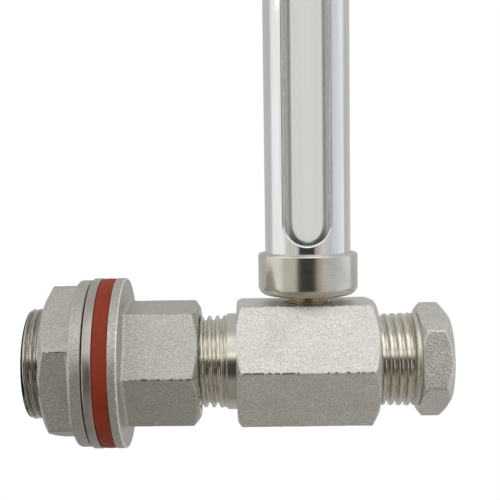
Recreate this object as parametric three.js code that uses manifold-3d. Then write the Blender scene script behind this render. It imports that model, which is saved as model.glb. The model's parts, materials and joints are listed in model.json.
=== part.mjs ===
// A sight glass that stands on the outside of a tank: a bulkhead fitting clamps through the tank wall,
// a hex tee screws into it, a plug closes the tee's far end, and a slotted metal shield with a clear
// tube inside stands in a cup on top of the tee.
//
// Frame: +X runs along the pipe axis away from the tank, +Z runs up along the tube, and the origin is on
// the pipe axis where the tank wall's outer surface meets the gasket. Millimetres.

import * as THREE from "three";
import { mergeVertices } from "three/addons/utils/BufferGeometryUtils.js";
import Module from "manifold-3d";

// ---------- driving dimensions ----------

// Clearances
const faceGap = 0.1; // between flat faces that bear on each other
const boreGap = 0.3; // radial, a loose ring or nut over a thread
const socketGap = 0.15; // radial, the shield in its cup and cap
const ringGap = 0.05; // round a seal ring, on every side
const nutGap = 0.3; // the open line between the lock nut and its washer

// Tank side: gasket, washer, lock nut
const flangeRadius = 19.3;
const gasketThickness = 3.2;
const gasketInset = 0.1;
const washerThickness = 2;
const nutFlangeLength = 2.9;
const nutFlangeInset = 0.4;
const nutHexLength = 6.7;
const nutWall = 3.3;
const nutTurn = 18;

// Bulkhead fitting
const stubRadius = 12.5;
const stubLength = 16.5;
const stubPitch = 1.5;
const stubThreadDepth = 0.9;
const stubWall = 2.6;
const flangeThickness = 2;
const bulkheadHexLength = 16.6;
const bulkheadWall = 2;
const bulkheadTurn = -4.9;

// Half-inch pipe thread, shared by the tee's male end and the plug
const pipeRadius = 10.55;
const pipePitch = 1.814;
const pipeThreadDepth = 1.3;
const pipeTaper = 1 / 32;
const pipeSocketGap = 0.3;
const pipeSocketRunOut = 3.5;

// Tee
const teeLength = 31.4;
const teeWall = 2.65;
const teeInsertion = 11.6;
const teeExposedThread = 5.9;
const teeCollarLength = 2.5;
const teeCollarStep = 0.35;
const teeNippleWall = 1.75;
const teeChamberRadius = 8.5;
const portShift = 0.5; // the port stands this far past the middle of the tee

// End plug
const plugExposedThread = 7.6;
const plugNeckLength = 1.65;
const plugHeadLength = 7;
const plugHeadStep = 0.65; // half the across-flats size over the thread radius
const plugWall = 2.9;
const plugTurn = 38.6;
const plugClearance = 1.1; // from the plug's inner end to the stem in the port

// Stem nipple and the port it screws into
const stemRadius = 5.1;
const stemPitch = 0.94;
const stemThreadDepth = 0.55;
const stemBore = 3;
const stemInsertion = 4.5;
const stemExposed = 1.7;

// Thread tape
const tapeThickness = 0.12;
const tapeGap = 0.09;

// Clear tube, shield and seals
const tubeRadius = 6.35;
const tubeWall = 1.6;
const tubeToShield = 1.75;
const shieldWall = 1.5;
const shieldLength = 150;
const slotWidth = 10.2;
const slotMargin = 1.9; // from the rim of the cup or cap to the end of the slot
const slotTurn = -3.5; // degrees, the slots' direction from the Y axis
const ringSection = 1.7;
const seatThickness = 1;
const glandThickness = 0.7;

// Cup and cap
const cupWall = 1.45;
const cupFloor = 1.5;
const cupSocket = 3.5;
const cupCorner = 2.1;
const cupRimEdge = 0.7; // the turned-off edge of the cup's and the cap's rim
const capSocket = 4.2;
const capRoof = 2;
const capPadThickness = 1;
const capHeadroom = 1; // the clear tube stands this far past the top seal ring
const ventRadius = 1.5;

// Facets round a full turn
const facets = 32;
const smallFacets = 24;

// ---------- derived places ----------

const flangeFace = gasketThickness + faceGap;
const flangeEnd = flangeFace + flangeThickness;
const bulkheadEnd = flangeEnd + bulkheadHexLength;
const washerFace = -faceGap - washerThickness;
const nutFace = washerFace - nutGap;
const nutHexStart = nutFace - nutFlangeLength;
const nutEnd = nutHexStart - nutHexLength;

const pipeSocketRadius = pipeRadius + pipeSocketGap;
const teeNippleEnd = bulkheadEnd - teeInsertion;
const teeCollarStart = bulkheadEnd + teeExposedThread;
const teeStart = teeCollarStart + teeCollarLength;
const teeEnd = teeStart + teeLength;
const teeFlat = pipeSocketRadius + teeWall;
const bulkheadFlat = pipeSocketRadius + bulkheadWall;
const nutFlat = stubRadius + boreGap + nutWall;
const tubeX = teeStart + teeLength / 2 + portShift;
const plugInnerEnd = tubeX + stemRadius + plugClearance;
const plugThreadEnd = teeEnd + plugExposedThread;
const plugHeadStart = plugThreadEnd + plugNeckLength;
const plugEnd = plugHeadStart + plugHeadLength;
const plugFlat = pipeRadius + plugHeadStep;

const stemBottom = teeFlat - stemInsertion;
const cupBottom = teeFlat + stemExposed;
const cupFloorTop = cupBottom + cupFloor;
const ringPitch = ringSection + 2 * ringGap;
const glandStep = cupFloorTop + 2 * ringPitch + ringGap;
const glandBottom = glandStep + faceGap;
const shieldBottom = glandBottom + glandThickness + faceGap;
const cupRim = shieldBottom + cupSocket;
const shieldRadius = tubeRadius + tubeToShield + shieldWall;
const socketRadius = shieldRadius + socketGap;
const cupRadius = socketRadius + cupWall;
const sealBore = tubeRadius + ringSection + 2 * ringGap;
const seatBottom = cupFloorTop + faceGap;
const tubeBottom = seatBottom + seatThickness + faceGap;

const shieldTop = shieldBottom + shieldLength;
const capRim = shieldTop - capSocket;
const capStep = shieldTop + faceGap;
const capRingBottom = capStep + 2 * ringGap;
const tubeTop = capRingBottom + ringSection + capHeadroom;
const capPadBottom = tubeTop + faceGap;
const capCeiling = capPadBottom + capPadThickness + faceGap;
const capTop = capCeiling + capRoof;

// ---------- solids ----------

const wasm = await Module();
wasm.setup();

// Turns a closed three.js geometry into a solid.
function solid(geometry) {
  geometry.deleteAttribute("normal");
  geometry.deleteAttribute("uv");
  const merged = mergeVertices(geometry, 1e-4);
  const corners = merged.index.array;
  const kept = [];
  for (let i = 0; i < corners.length; i += 3) {
    const [a, b, c] = corners.slice(i, i + 3);
    if (a !== b && b !== c && c !== a) kept.push(a, b, c);
  }
  const mesh = new wasm.Mesh({
    numProp: 3,
    vertProperties: new Float32Array(merged.attributes.position.array),
    triVerts: new Uint32Array(kept),
  });
  return new wasm.Manifold(mesh);
}

const alongX = new THREE.Matrix4().makeBasis(
  new THREE.Vector3(0, 1, 0),
  new THREE.Vector3(1, 0, 0),
  new THREE.Vector3(0, 0, -1),
);
const upZ = new THREE.Matrix4()
  .makeBasis(new THREE.Vector3(1, 0, 0), new THREE.Vector3(0, 0, 1), new THREE.Vector3(0, -1, 0))
  .setPosition(tubeX, 0, 0);

// A turned solid from a closed outline of [along, radius] points, given in either sense.
function turned(outline, frame, count = facets) {
  const area = outline.reduce((sum, [x, r], i) => {
    const [nextX, nextR] = outline[(i + 1) % outline.length];
    return sum + r * nextX - nextR * x;
  }, 0);
  const ordered = area > 0 ? outline : [...outline].reverse();
  const points = ordered.map(([x, r]) => new THREE.Vector2(r, x));
  points.push(points[0].clone());
  const geometry = new THREE.LatheGeometry(points, count);
  return solid(geometry.applyMatrix4(frame));
}

// A plain turned length between two stations and two radii.
const sleeve = (from, to, inner, outer, frame, count) =>
  turned([[from, inner], [from, outer], [to, outer], [to, inner]], frame, count);

// Points on a circular arc, from one angle to another in degrees.
function arc(centreX, centreR, radius, from, to, steps = 4) {
  return Array.from({ length: steps + 1 }, (_, i) => {
    const angle = THREE.MathUtils.degToRad(from + ((to - from) * i) / steps);
    return [centreX + radius * Math.cos(angle), centreR + radius * Math.sin(angle)];
  });
}

// Ridges and valleys of a thread, drawn as rings, from its free end towards its shoulder.
function thread(free, shoulder, radiusAt, pitch, depth) {
  const way = Math.sign(shoulder - free);
  const turns = Math.floor((Math.abs(shoulder - free) - depth) / pitch);
  const points = [[free, radiusAt(free) - depth]];
  for (let i = 0; i < turns; i += 1) {
    const crest = free + way * (i + 0.5) * pitch;
    const valley = free + way * (i + 1) * pitch;
    points.push([crest, radiusAt(crest)], [valley, radiusAt(valley) - depth]);
  }
  return points;
}

// A hexagonal bar along X; the corner angle is measured from the front, -Y, upwards.
function hexBar(from, to, halfFlats, cornerAngle) {
  const cornerRadius = halfFlats / Math.cos(Math.PI / 6);
  const shape = new THREE.Shape(
    Array.from({ length: 6 }, (_, i) => {
      const angle = THREE.MathUtils.degToRad(cornerAngle + 60 * i);
      return new THREE.Vector2(-Math.cos(angle) * cornerRadius, Math.sin(angle) * cornerRadius);
    }),
  );
  const geometry = new THREE.ExtrudeGeometry(shape, { depth: to - from, bevelEnabled: false });
  const frame = new THREE.Matrix4()
    .makeBasis(new THREE.Vector3(0, 1, 0), new THREE.Vector3(0, 0, 1), new THREE.Vector3(1, 0, 0))
    .setPosition(from, 0, 0);
  return solid(geometry.applyMatrix4(frame));
}

// A hexagonal bar whose ends are turned to a chamfer that meets each end face in a circle, which lies
// inside the flats by that end's inset.
function chamferedHex(from, to, halfFlats, cornerAngle, { startInset, endInset, chamfer = 30 }) {
  const outside = halfFlats / Math.cos(Math.PI / 6) + 1;
  const slope = Math.tan(THREE.MathUtils.degToRad(chamfer));
  const startRadius = halfFlats - startInset;
  const endRadius = halfFlats - endInset;
  const envelope = turned(
    [
      [from, 0],
      [from, startRadius],
      [from + (outside - startRadius) * slope, outside],
      [to - (outside - endRadius) * slope, outside],
      [to, endRadius],
      [to, 0],
    ],
    alongX,
  );
  return hexBar(from, to, halfFlats, cornerAngle).intersect(envelope);
}

// ---------- tank side ----------

function bulkheadBody() {
  const rimRadius = 0.4;
  const fillet = 0.8;
  const stub = thread(-stubLength, 0, () => stubRadius, stubPitch, stubThreadDepth);
  const blank = turned(
    [
      [-stubLength, 0],
      ...stub,
      [0, stubRadius - stubThreadDepth],
      [flangeFace, stubRadius - stubThreadDepth],
      [flangeFace, flangeRadius],
      ...arc(flangeEnd - rimRadius, flangeRadius - rimRadius, rimRadius, 90, 0, 2),
      [flangeEnd, bulkheadFlat + fillet],
      [flangeEnd + fillet, bulkheadFlat],
      [flangeEnd + fillet, 0],
    ],
    alongX,
  );
  const insets = { startInset: -2, endInset: 0.4 };
  const hex = chamferedHex(flangeEnd, bulkheadEnd, bulkheadFlat, bulkheadTurn, insets);
  const shoulder = teeNippleEnd - 1.5;
  const bore = stubRadius - stubThreadDepth - stubWall;
  const passage = turned(
    [
      [-stubLength - 1, 0],
      [-stubLength - 1, bore],
      [shoulder, bore],
      [shoulder, pipeSocketRadius],
      [bulkheadEnd + 1, pipeSocketRadius],
      [bulkheadEnd + 1, 0],
    ],
    alongX,
  );
  return blank.add(hex).subtract(passage);
}

function tankGasket() {
  return sleeve(0, gasketThickness, stubRadius + boreGap, flangeRadius - gasketInset, alongX);
}

function backingWasher() {
  const edge = 0.5;
  return turned(
    [
      [-faceGap, stubRadius + boreGap],
      [-faceGap, flangeRadius],
      [washerFace + edge, flangeRadius],
      [washerFace, flangeRadius - edge],
      [washerFace, stubRadius + boreGap],
    ],
    alongX,
  );
}

function lockNut() {
  const edge = 1.2;
  const chamfer = 0.4;
  const rim = flangeRadius - nutFlangeInset;
  const flange = turned(
    [
      [nutFace, 0],
      [nutFace, rim - chamfer],
      [nutFace - chamfer, rim],
      ...arc(nutHexStart + edge, rim - edge, edge, 90, 180),
      [nutHexStart, 0],
    ],
    alongX,
  );
  const insets = { startInset: 0.4, endInset: -3 };
  const hex = chamferedHex(nutEnd, nutHexStart + 1, nutFlat, nutTurn, insets);
  const bore = sleeve(nutEnd - 1, nutFace + 1, 0, stubRadius + boreGap, alongX);
  return flange.add(hex).subtract(bore);
}

// ---------- tee and plug ----------

const teeThreadRadius = (x) => pipeRadius - (teeCollarStart - x) * pipeTaper;
const plugThreadRadius = (x) => pipeRadius - (plugThreadEnd - x) * pipeTaper;

function teeBody() {
  const collarRadius = pipeRadius + teeCollarStep;
  const nipple = turned(
    [
      [teeNippleEnd, 0],
      ...thread(teeNippleEnd, teeCollarStart, teeThreadRadius, pipePitch, pipeThreadDepth),
      [teeCollarStart, pipeRadius - pipeThreadDepth],
      [teeCollarStart, collarRadius - teeCollarStep],
      [teeCollarStart + teeCollarStep, collarRadius],
      [teeStart + 1, collarRadius],
      [teeStart + 1, 0],
    ],
    alongX,
  );
  const hex = chamferedHex(teeStart, teeEnd, teeFlat, 0, { startInset: -0.3, endInset: 0.7 });
  const nippleBore = pipeRadius - pipeThreadDepth - teeNippleWall;
  const socketBottom = plugInnerEnd - pipeSocketRunOut;
  const passage = turned(
    [
      [teeNippleEnd - 1, 0],
      [teeNippleEnd - 1, nippleBore],
      [teeStart, nippleBore],
      [teeStart + 1, teeChamberRadius],
      [socketBottom, teeChamberRadius],
      [socketBottom, pipeSocketRadius],
      [teeEnd + 1, pipeSocketRadius],
      [teeEnd + 1, 0],
    ],
    alongX,
  );
  const portRadius = stemRadius + boreGap;
  const port = sleeve(0, teeFlat + 1, 0, portRadius, upZ, smallFacets);
  return nipple.add(hex).subtract(passage).subtract(port);
}

function endPlug() {
  const rootRadius = pipeRadius - pipeThreadDepth;
  const neckRise = 0.6;
  const shank = turned(
    [
      [plugInnerEnd, 0],
      ...thread(plugInnerEnd, plugThreadEnd, plugThreadRadius, pipePitch, pipeThreadDepth),
      [plugThreadEnd, rootRadius],
      [plugThreadEnd + neckRise, pipeRadius],
      [plugHeadStart + 1, pipeRadius],
      [plugHeadStart + 1, 0],
    ],
    alongX,
  );
  const insets = { startInset: -0.4, endInset: 1.2, chamfer: 36 };
  const head = chamferedHex(plugHeadStart, plugEnd, plugFlat, plugTurn, insets);
  const hollow = sleeve(plugInnerEnd - 1, plugThreadEnd, 0, rootRadius - plugWall, alongX, smallFacets);
  return shank.add(head).subtract(hollow);
}

// Sealing tape wound on a thread, as the sleeve that it fills between the two threads.
function pipeTape(from, to, threadRadius) {
  const inner = threadRadius(to) + tapeGap;
  return sleeve(from, to, inner, inner + tapeThickness, alongX);
}

// ---------- cup, nipple and seals ----------

function stemNipple() {
  const root = stemRadius - stemThreadDepth;
  const top = cupFloorTop - faceGap;
  return turned(
    [
      [stemBottom, stemBore],
      ...thread(stemBottom, cupBottom, () => stemRadius, stemPitch, stemThreadDepth),
      [cupBottom, root],
      [top, root],
      [top, stemBore],
    ],
    upZ,
    smallFacets,
  );
}

function stemTape() {
  const inner = stemRadius + tapeGap;
  return sleeve(stemBottom + faceGap, teeFlat - faceGap, inner, inner + tapeThickness, upZ, smallFacets);
}

function tubeCup() {
  const floorHole = stemRadius - stemThreadDepth + faceGap;
  return turned(
    [
      [cupBottom, floorHole],
      ...arc(cupBottom + cupCorner, cupRadius - cupCorner, cupCorner, 180, 90),
      [cupRim - cupRimEdge, cupRadius],
      [cupRim, cupRadius - cupRimEdge],
      [cupRim, socketRadius],
      [glandStep, socketRadius],
      [glandStep, sealBore],
      [cupFloorTop, sealBore],
      [cupFloorTop, floorHole],
    ],
    upZ,
  );
}

// A seal ring round the clear tube, resting at the given height.
function sealRing(bottom) {
  const half = ringSection / 2;
  const centreRadius = tubeRadius + ringGap + half;
  return turned(arc(bottom + half, centreRadius, half, 30, 330, 5), upZ);
}

const tubeSeat = () =>
  sleeve(seatBottom, seatBottom + seatThickness, stemBore, tubeRadius - ringGap, upZ);

const glandRing = () =>
  sleeve(glandBottom, glandBottom + glandThickness, tubeRadius + socketGap, shieldRadius, upZ);

// ---------- tube, shield and cap ----------

const sightTube = () => sleeve(tubeBottom, tubeTop, tubeRadius - tubeWall, tubeRadius, upZ);

function shieldTube() {
  const shell = sleeve(shieldBottom, shieldTop, shieldRadius - shieldWall, shieldRadius, upZ);
  const half = slotWidth / 2;
  const low = cupRim + slotMargin + half;
  const high = capRim - slotMargin - half;
  const slot = new THREE.Shape();
  slot.moveTo(-half, low);
  slot.absarc(0, low, half, Math.PI, 2 * Math.PI, false);
  slot.absarc(0, high, half, 0, Math.PI, false);
  slot.closePath();
  const through = 2 * (shieldRadius + 1);
  const cutter = new THREE.ExtrudeGeometry(slot, { depth: through, bevelEnabled: false, curveSegments: 8 });
  cutter.translate(0, 0, -through / 2);
  cutter.rotateX(Math.PI / 2);
  cutter.rotateZ(THREE.MathUtils.degToRad(slotTurn));
  cutter.translate(tubeX, 0, 0);
  return shell.subtract(solid(cutter));
}

function topCap() {
  return turned(
    [
      [capRim, socketRadius],
      [capRim, cupRadius - cupRimEdge],
      [capRim + cupRimEdge, cupRadius],
      ...arc(capTop - cupCorner, cupRadius - cupCorner, cupCorner, 90, 0),
      [capTop, ventRadius],
      [capCeiling, ventRadius],
      [capCeiling, sealBore],
      [capStep, sealBore],
      [capStep, socketRadius],
    ],
    upZ,
  );
}

const capPad = () =>
  sleeve(capPadBottom, capPadBottom + capPadThickness, tubeRadius / 2, sealBore - ringGap, upZ);

// ---------- materials and assembly ----------

const material = (color, roughness, metalness) =>
  new THREE.MeshStandardMaterial({ color, roughness, metalness });

const castSteel = material(0xb9b6ab, 0.5, 1);
const turnedSteel = material(0xc6c3b8, 0.3, 1);
const satinSteel = material(0xbdb8ac, 0.35, 1);
const polishedAluminium = material(0xe0e2e0, 0.12, 1);
const brass = material(0xb59a5c, 0.35, 1);
const redSilicone = material(0x9c3a20, 0.6, 0);
const blackRubber = material(0x1c1c1c, 0.6, 0);
const clearRubber = material(0xe4e2da, 0.5, 0);
const whiteTape = material(0xf2f1ec, 0.6, 0);
const clearPlastic = new THREE.MeshStandardMaterial({
  color: 0xeef3f2,
  roughness: 0.05,
  metalness: 0,
  transparent: true,
  opacity: 0.35,
});

const sightGlass = new THREE.Group();

function place(name, shape, finish) {
  const { vertProperties, triVerts } = shape.getMesh();
  const geometry = new THREE.BufferGeometry();
  geometry.setAttribute("position", new THREE.BufferAttribute(vertProperties, 3));
  geometry.setIndex(new THREE.BufferAttribute(triVerts, 1));
  geometry.computeVertexNormals();
  const mesh = new THREE.Mesh(geometry, finish);
  mesh.name = name;
  sightGlass.add(mesh);
}

place("bulkhead_body", bulkheadBody(), castSteel);
place("tank_gasket", tankGasket(), redSilicone);
place("backing_washer", backingWasher(), turnedSteel);
place("lock_nut", lockNut(), castSteel);
place("tee_tape", pipeTape(teeNippleEnd + faceGap, bulkheadEnd - faceGap, teeThreadRadius), whiteTape);
place("tee_body", teeBody(), castSteel);
place("plug_tape", pipeTape(plugInnerEnd + faceGap, teeEnd - faceGap, plugThreadRadius), whiteTape);
place("end_plug", endPlug(), castSteel);
place("stem_tape", stemTape(), whiteTape);
place("stem_nipple", stemNipple(), brass);
place("tube_cup", tubeCup(), satinSteel);
place("tube_seat", tubeSeat(), clearRubber);
place("lower_o_ring", sealRing(cupFloorTop + ringGap), blackRubber);
place("middle_o_ring", sealRing(cupFloorTop + ringGap + ringPitch), blackRubber);
place("gland_ring", glandRing(), whiteTape);
place("sight_tube", sightTube(), clearPlastic);
place("shield_tube", shieldTube(), polishedAluminium);
place("top_cap", topCap(), satinSteel);
place("upper_o_ring", sealRing(capRingBottom), blackRubber);
place("cap_pad", capPad(), clearRubber);

export default sightGlass;
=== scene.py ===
"""The looks of a tank sight glass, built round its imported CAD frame.

Every piece is made in millimetres in the part's own frame and scaled to metres when its mesh is written.
Pieces turned on the pipe run along X; pieces turned on the sight tube run up Z. Angles round an axis start
at the front, facing -Y, and grow upwards on the pipe and towards +X on the tube.
"""

import json
import math

import bmesh
import bpy
import numpy as np
from mathutils import Matrix, Vector, noise


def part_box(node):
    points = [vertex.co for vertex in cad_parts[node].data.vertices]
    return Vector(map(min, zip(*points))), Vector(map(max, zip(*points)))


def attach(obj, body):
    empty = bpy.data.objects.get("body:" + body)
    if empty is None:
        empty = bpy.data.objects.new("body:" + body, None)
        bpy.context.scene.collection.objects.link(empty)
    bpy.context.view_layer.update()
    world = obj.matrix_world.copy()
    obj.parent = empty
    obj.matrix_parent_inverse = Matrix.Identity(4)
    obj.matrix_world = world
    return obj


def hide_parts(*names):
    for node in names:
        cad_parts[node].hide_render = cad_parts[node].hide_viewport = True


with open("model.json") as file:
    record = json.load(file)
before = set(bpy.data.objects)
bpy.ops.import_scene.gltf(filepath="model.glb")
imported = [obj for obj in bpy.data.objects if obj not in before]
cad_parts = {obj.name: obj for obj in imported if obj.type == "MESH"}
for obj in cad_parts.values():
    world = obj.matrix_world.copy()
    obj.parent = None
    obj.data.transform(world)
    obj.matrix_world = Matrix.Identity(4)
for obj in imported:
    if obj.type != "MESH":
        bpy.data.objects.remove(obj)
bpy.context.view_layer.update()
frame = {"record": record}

MM = 0.001


def low(node):
    """A CAD node's lowest corner in mm."""
    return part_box(node)[0] / MM


def high(node):
    """A CAD node's highest corner in mm."""
    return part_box(node)[1] / MM


# ---------- sizes in mm, tied to the frame ----------

FACE_GAP = 0.1
CLOSE_GAP = 0.02  # what is left between pieces that are squeezed together
LOOSE_GAP = 0.3  # round a thread that a loose ring or a larger thread goes over

PITCH_STUB, DEPTH_STUB = 1.5, 0.9
PITCH_PIPE, DEPTH_PIPE, PIPE_TAPER = 1.814, 1.05, 1 / 32
PITCH_STEM, DEPTH_STEM = 0.94, 0.55

TUBE_X = (low("sight_tube").x + high("sight_tube").x) / 2
STUB_END = low("bulkhead_body").x
STUB_RADIUS = 12.5
STUB_WALL = 2.6
FLANGE_RADIUS = high("bulkhead_body").z
FLANGE_THICKNESS = 2.0
FLANGE_FACE = high("tank_gasket").x + FACE_GAP
FLANGE_END = FLANGE_FACE + FLANGE_THICKNESS
BULKHEAD_END = high("bulkhead_body").x
BULKHEAD_TURN = -4.9

PIPE_RADIUS = 10.55
PIPE_SOCKET = PIPE_RADIUS + LOOSE_GAP
SOCKET_RUN_OUT = 3.5  # how far the tee's socket goes on past the plug
BULKHEAD_WALL = 2.0
BULKHEAD_FLAT = PIPE_SOCKET + BULKHEAD_WALL
NIPPLE_END = low("tee_body").x
NIPPLE_BORE = 7.5
TEE_LENGTH = 31.4
TEE_FLAT = high("tee_body").z
TEE_END = high("tee_body").x
TEE_START = TEE_END - TEE_LENGTH
COLLAR_LENGTH = 2.5
COLLAR_START = TEE_START - COLLAR_LENGTH
COLLAR_RADIUS = PIPE_RADIUS + 0.35
CHAMBER_RADIUS = 8.5

PLUG_HEAD_LENGTH = 7.0
PLUG_NECK_LENGTH = 1.65
PLUG_HEAD_STEP = 0.65
PLUG_WALL = 2.9
PLUG_TURN = 38.6
PLUG_INNER = low("end_plug").x
PLUG_END = high("end_plug").x
PLUG_HEAD = PLUG_END - PLUG_HEAD_LENGTH
PLUG_THREAD_END = PLUG_HEAD - PLUG_NECK_LENGTH
PLUG_FLAT = PIPE_RADIUS + PLUG_HEAD_STEP

NUT_FLANGE_LENGTH = 2.9
NUT_WALL = 3.3
NUT_TURN = 18
NUT_END = low("lock_nut").x
NUT_FACE = high("lock_nut").x
NUT_HEX_START = NUT_FACE - NUT_FLANGE_LENGTH
NUT_FLAT = STUB_RADIUS + LOOSE_GAP + NUT_WALL
NUT_RIM = FLANGE_RADIUS - 0.4

STEM_RADIUS = high("stem_nipple").y
STEM_BORE = 3.0
CUP_RADIUS = high("tube_cup").y
CUP_BOTTOM, CUP_RIM = low("tube_cup").z, high("tube_cup").z
CUP_FLOOR = CUP_BOTTOM + 1.5
CUP_CORNER = 2.1
CUP_EDGE = 0.7  # turned off the rim of the cup and of the cap
GLAND_STEP = low("gland_ring").z - FACE_GAP
SHIELD_RADIUS = high("shield_tube").y
SHIELD_WALL = 1.5
SHIELD_LOW, SHIELD_HIGH = low("shield_tube").z, high("shield_tube").z
SOCKET_RADIUS = SHIELD_RADIUS + 0.15
CAP_RIM, CAP_TOP = low("top_cap").z, high("top_cap").z
CAP_CEILING = CAP_TOP - 2.0
VENT_RADIUS = 1.5
TUBE_RADIUS = high("sight_tube").y
TUBE_WALL = 1.6
TUBE_LOW, TUBE_HIGH = low("sight_tube").z, high("sight_tube").z
RING_SECTION = 1.7
SEAL_BORE = TUBE_RADIUS + RING_SECTION + 0.1
SLOT_WIDTH = 10.2
SLOT_MARGIN = 1.9
SLOT_TURN = -3.5

TAPE_THICKNESS = 0.14
TAPE_GAP = 0.07  # from a thread's crest to the tape on it
PIPE_TAPE_TURN, STEM_TAPE_TURN = 2.4, 1.6  # how far one turn of tape moves along
STEM_TAPE_TRIM = 1.2  # the tape's top stays this far below its CAD top


# ---------- surfaces made of rings ----------

SHARP_ANGLE = math.radians(40)


class Skin:
    """Rings of points round an axis, in order along a piece's surface, which become one closed mesh."""

    def __init__(self, steps=256, turn=0):
        self.angle = np.linspace(0, 2 * math.pi, steps, endpoint=False) + math.radians(turn)
        self.rings = []

    def ring(self, along, radius, cast=0.0):
        """Adds one ring; along and radius are numbers or one value per step.

        Its cast value is 1 where the surface is rough-cast, 0 where turned and -1 where a highlight is
        painted on in near-white colour.
        """
        flat = np.ones_like(self.angle)
        self.rings.append((flat * along, flat * radius, flat * cast))

    def line(self, start, end, count=6, cast=0.0):
        """A straight stretch of outline between two (along, radius) points."""
        for t in np.linspace(0, 1, count + 1):
            self.ring(*(np.array(start) * (1 - t) + np.array(end) * t), cast)

    def arc(self, centre, radius, start, end, count=8, cast=0.0):
        """A round stretch of outline, between two angles in degrees from the along direction."""
        for a in np.radians(np.linspace(start, end, count + 1)):
            self.ring(centre[0] + radius * math.cos(a), centre[1] + radius * math.sin(a), cast)

    def path(self, *points, rounding=0.12, cast=0.0):
        """Straight stretches through the points, with each inner corner rounded off."""
        points = [np.array(p, float) for p in points]
        self.ring(*points[0], cast)
        for before, corner, after in zip(points, points[1:], points[2:]):
            room = 0.45 * min(np.linalg.norm(before - corner), np.linalg.norm(after - corner))
            reach = min(rounding, room)
            first = corner + (before - corner) / np.linalg.norm(before - corner) * reach
            last = corner + (after - corner) / np.linalg.norm(after - corner) * reach
            for t in np.linspace(0, 1, 5):
                self.ring(*(first * (1 - t) ** 2 + corner * 2 * t * (1 - t) + last * t * t), cast)
        self.ring(*points[-1], cast)

    def thread(self, free, shoulder, crest_at, pitch, depth, land=0.0, run_out=0.0, flank=0.72):
        """A right-hand screw thread from its chamfered free end, which stands land above the root."""
        rows, valley, crest_blend = 14, 0.1, 0.15
        way = math.copysign(1, shoulder - free)
        count = int(abs(shoulder - free) / pitch * rows)
        for along in np.linspace(free, shoulder, count + 1):
            phase = np.mod(along / pitch + self.angle / (2 * math.pi), 1)
            ridge = 1 - np.abs(2 * phase - 1)
            ridge = np.clip((ridge - valley) / flank, 0, 1)
            ridge = ridge * ridge * (3 - 2 * ridge)
            cut = depth
            if run_out:
                cut = depth * np.clip(abs(shoulder - along) / run_out, 0, 1)
            radius = crest_at(along) - cut * (1 - ridge)
            lead = crest_at(free) - depth + land + way * (along - free)
            self.ring(along, soft_min(radius, lead + 0 * radius, crest_blend))

    def hex_bar(self, start, end, flat, corner_angle, start_inset, end_inset, chamfer=30):
        """A hexagonal bar with slightly chipped corners and a turned chamfer at each end."""
        grid, blend = 0.22, 0.12
        section, from_corner = hex_section(self.angle, flat, corner_angle)
        slope = 1 / math.tan(math.radians(chamfer))
        for along in np.linspace(start, end, int((end - start) / grid) + 1):
            start_limit = flat - start_inset + (along - start) * slope
            end_limit = flat - end_inset + (end - along) * slope
            radius = soft_min(section, start_limit + 0 * section, blend)
            radius = soft_min(radius, end_limit + 0 * section, blend)
            ripple, wear_and_painted_highlight = cast_ripple(along, self.angle, flat, from_corner)
            self.ring(along, radius + ripple, 1 - wear_and_painted_highlight)

    def mesh(self, name, upright=False):
        """Writes the rings as a closed mesh object, joined end to end unless both ends lie on the axis."""
        steps, count = len(self.angle), len(self.rings)
        along, radius, cast = (np.array(values) for values in zip(*self.rings))
        side, rise = -radius * np.cos(self.angle), radius * np.sin(self.angle)
        if upright:
            points = np.stack([TUBE_X + rise, side, along], 2)
        else:
            points = np.stack([along, side, rise], 2)
        on_axis = radius[0].max() < 1e-6 and radius[-1].max() < 1e-6
        row = np.arange(count - 1 if on_axis else count)[:, None] * steps
        next_row = (row + steps) % (count * steps)
        step = np.arange(steps)[None, :]
        next_step = (step + 1) % steps
        faces = np.stack([row + step, row + next_step, next_row + next_step, next_row + step], 2)
        return write_mesh(name, points.reshape(-1, 3), faces.reshape(-1, 4).tolist(), {"cast": cast.ravel()})


def write_mesh(name, points, faces, attributes=None):
    """A mesh object from points in mm, merged, facing out, with smooth shading broken at sharp edges."""
    mesh = bpy.data.meshes.new(name)
    mesh.from_pydata((points * MM).tolist(), [], faces)
    for attribute, values in (attributes or {}).items():
        layer = mesh.attributes.new(attribute, "FLOAT", "POINT")
        layer.data.foreach_set("value", np.asarray(values, np.float32))
    shape = bmesh.new()
    shape.from_mesh(mesh)
    bmesh.ops.remove_doubles(shape, verts=shape.verts, dist=2e-7)
    bmesh.ops.dissolve_degenerate(shape, edges=shape.edges, dist=1e-7)
    bmesh.ops.recalc_face_normals(shape, faces=shape.faces)
    shape.to_mesh(mesh)
    shape.free()
    mesh.shade_smooth()
    mesh.set_sharp_from_angle(angle=SHARP_ANGLE)
    made = bpy.data.objects.new(name, mesh)
    bpy.context.scene.collection.objects.link(made)
    return made


def soft_min(a, b, blend):
    """The smaller of two heights, with the crease between them rounded over the blend width."""
    share = np.clip(0.5 + 0.5 * (b - a) / blend, 0, 1)
    return b + (a - b) * share - blend * share * (1 - share)


def hex_section(angle, flat, corner_angle, corner_round=0.3):
    """A hexagon's radius at each angle with rounded corners, and each angle's distance from a corner."""
    sixth = math.pi / 3
    turn = np.mod(angle - math.radians(corner_angle) + sixth / 2, sixth) - sixth / 2
    centre = (flat - corner_round) / math.cos(sixth / 2)
    inside = np.maximum(corner_round**2 - (centre * np.sin(turn)) ** 2, 0)
    rounded = centre * np.cos(turn) + np.sqrt(inside)
    plain = flat / np.cos(sixth / 2 - np.abs(turn))
    limit = math.atan2(corner_round * 0.5, centre + corner_round * math.cos(sixth / 2))
    return np.where(np.abs(turn) < limit, rounded, plain), np.abs(turn)


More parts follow.
